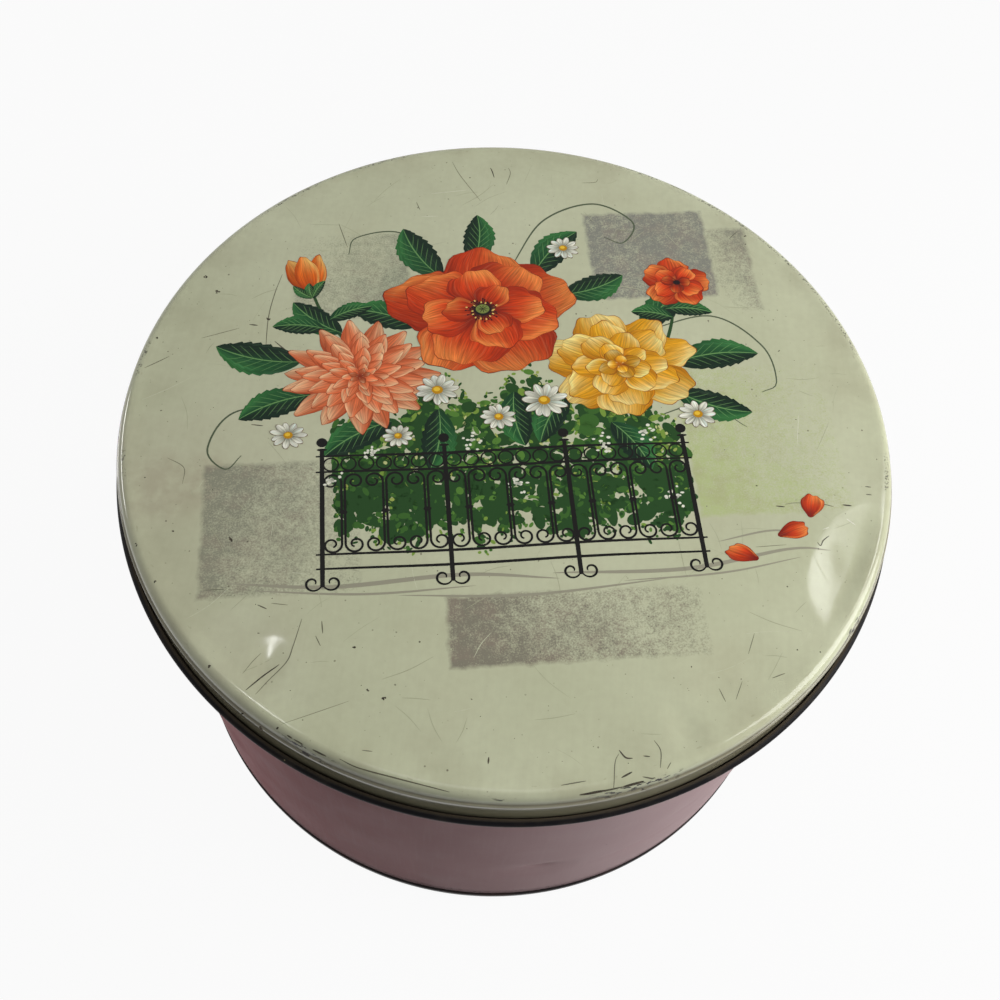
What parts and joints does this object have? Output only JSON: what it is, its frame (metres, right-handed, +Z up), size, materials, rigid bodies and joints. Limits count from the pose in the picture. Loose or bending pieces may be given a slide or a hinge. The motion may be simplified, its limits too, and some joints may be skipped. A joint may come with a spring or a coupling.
{
  "type": "round slip-lid tin",
  "caption": "Round tinplate box with a lift-off lid: straight enamelled wall, double-seamed foot, flat printed lid with rounded shoulder, skirt and curled hem.",
  "frame": {"origin": "centre of the foot, on the surface that the tin stands on", "axes": "+Z up along the tin's axis, -Y towards the side that faces the reader of the lid's picture, +X to the right"},
  "size_m": [0.2656, 0.2656, 0.1533],
  "materials": {
    "body_enamel": "glossy pink-mauve enamel outside, bare tinplate inside",
    "bottom_lacquer": "black lacquer outside, bare tinplate inside",
    "lid_enamel": "glossy cream enamel with a printed flower picture, black over the curled hem, worn"
  },
  "bodies": {
    "tin": {"body_wall": "body_enamel", "bottom_end": "bottom_lacquer"},
    "lid": {"lid": "lid_enamel"}
  },
  "joints": [
    {"name": "lid_lift", "type": "slide", "parent": "tin", "child": "lid", "axis": [0, 0, 1], "range_m": [0, 0.1]}
  ]
}
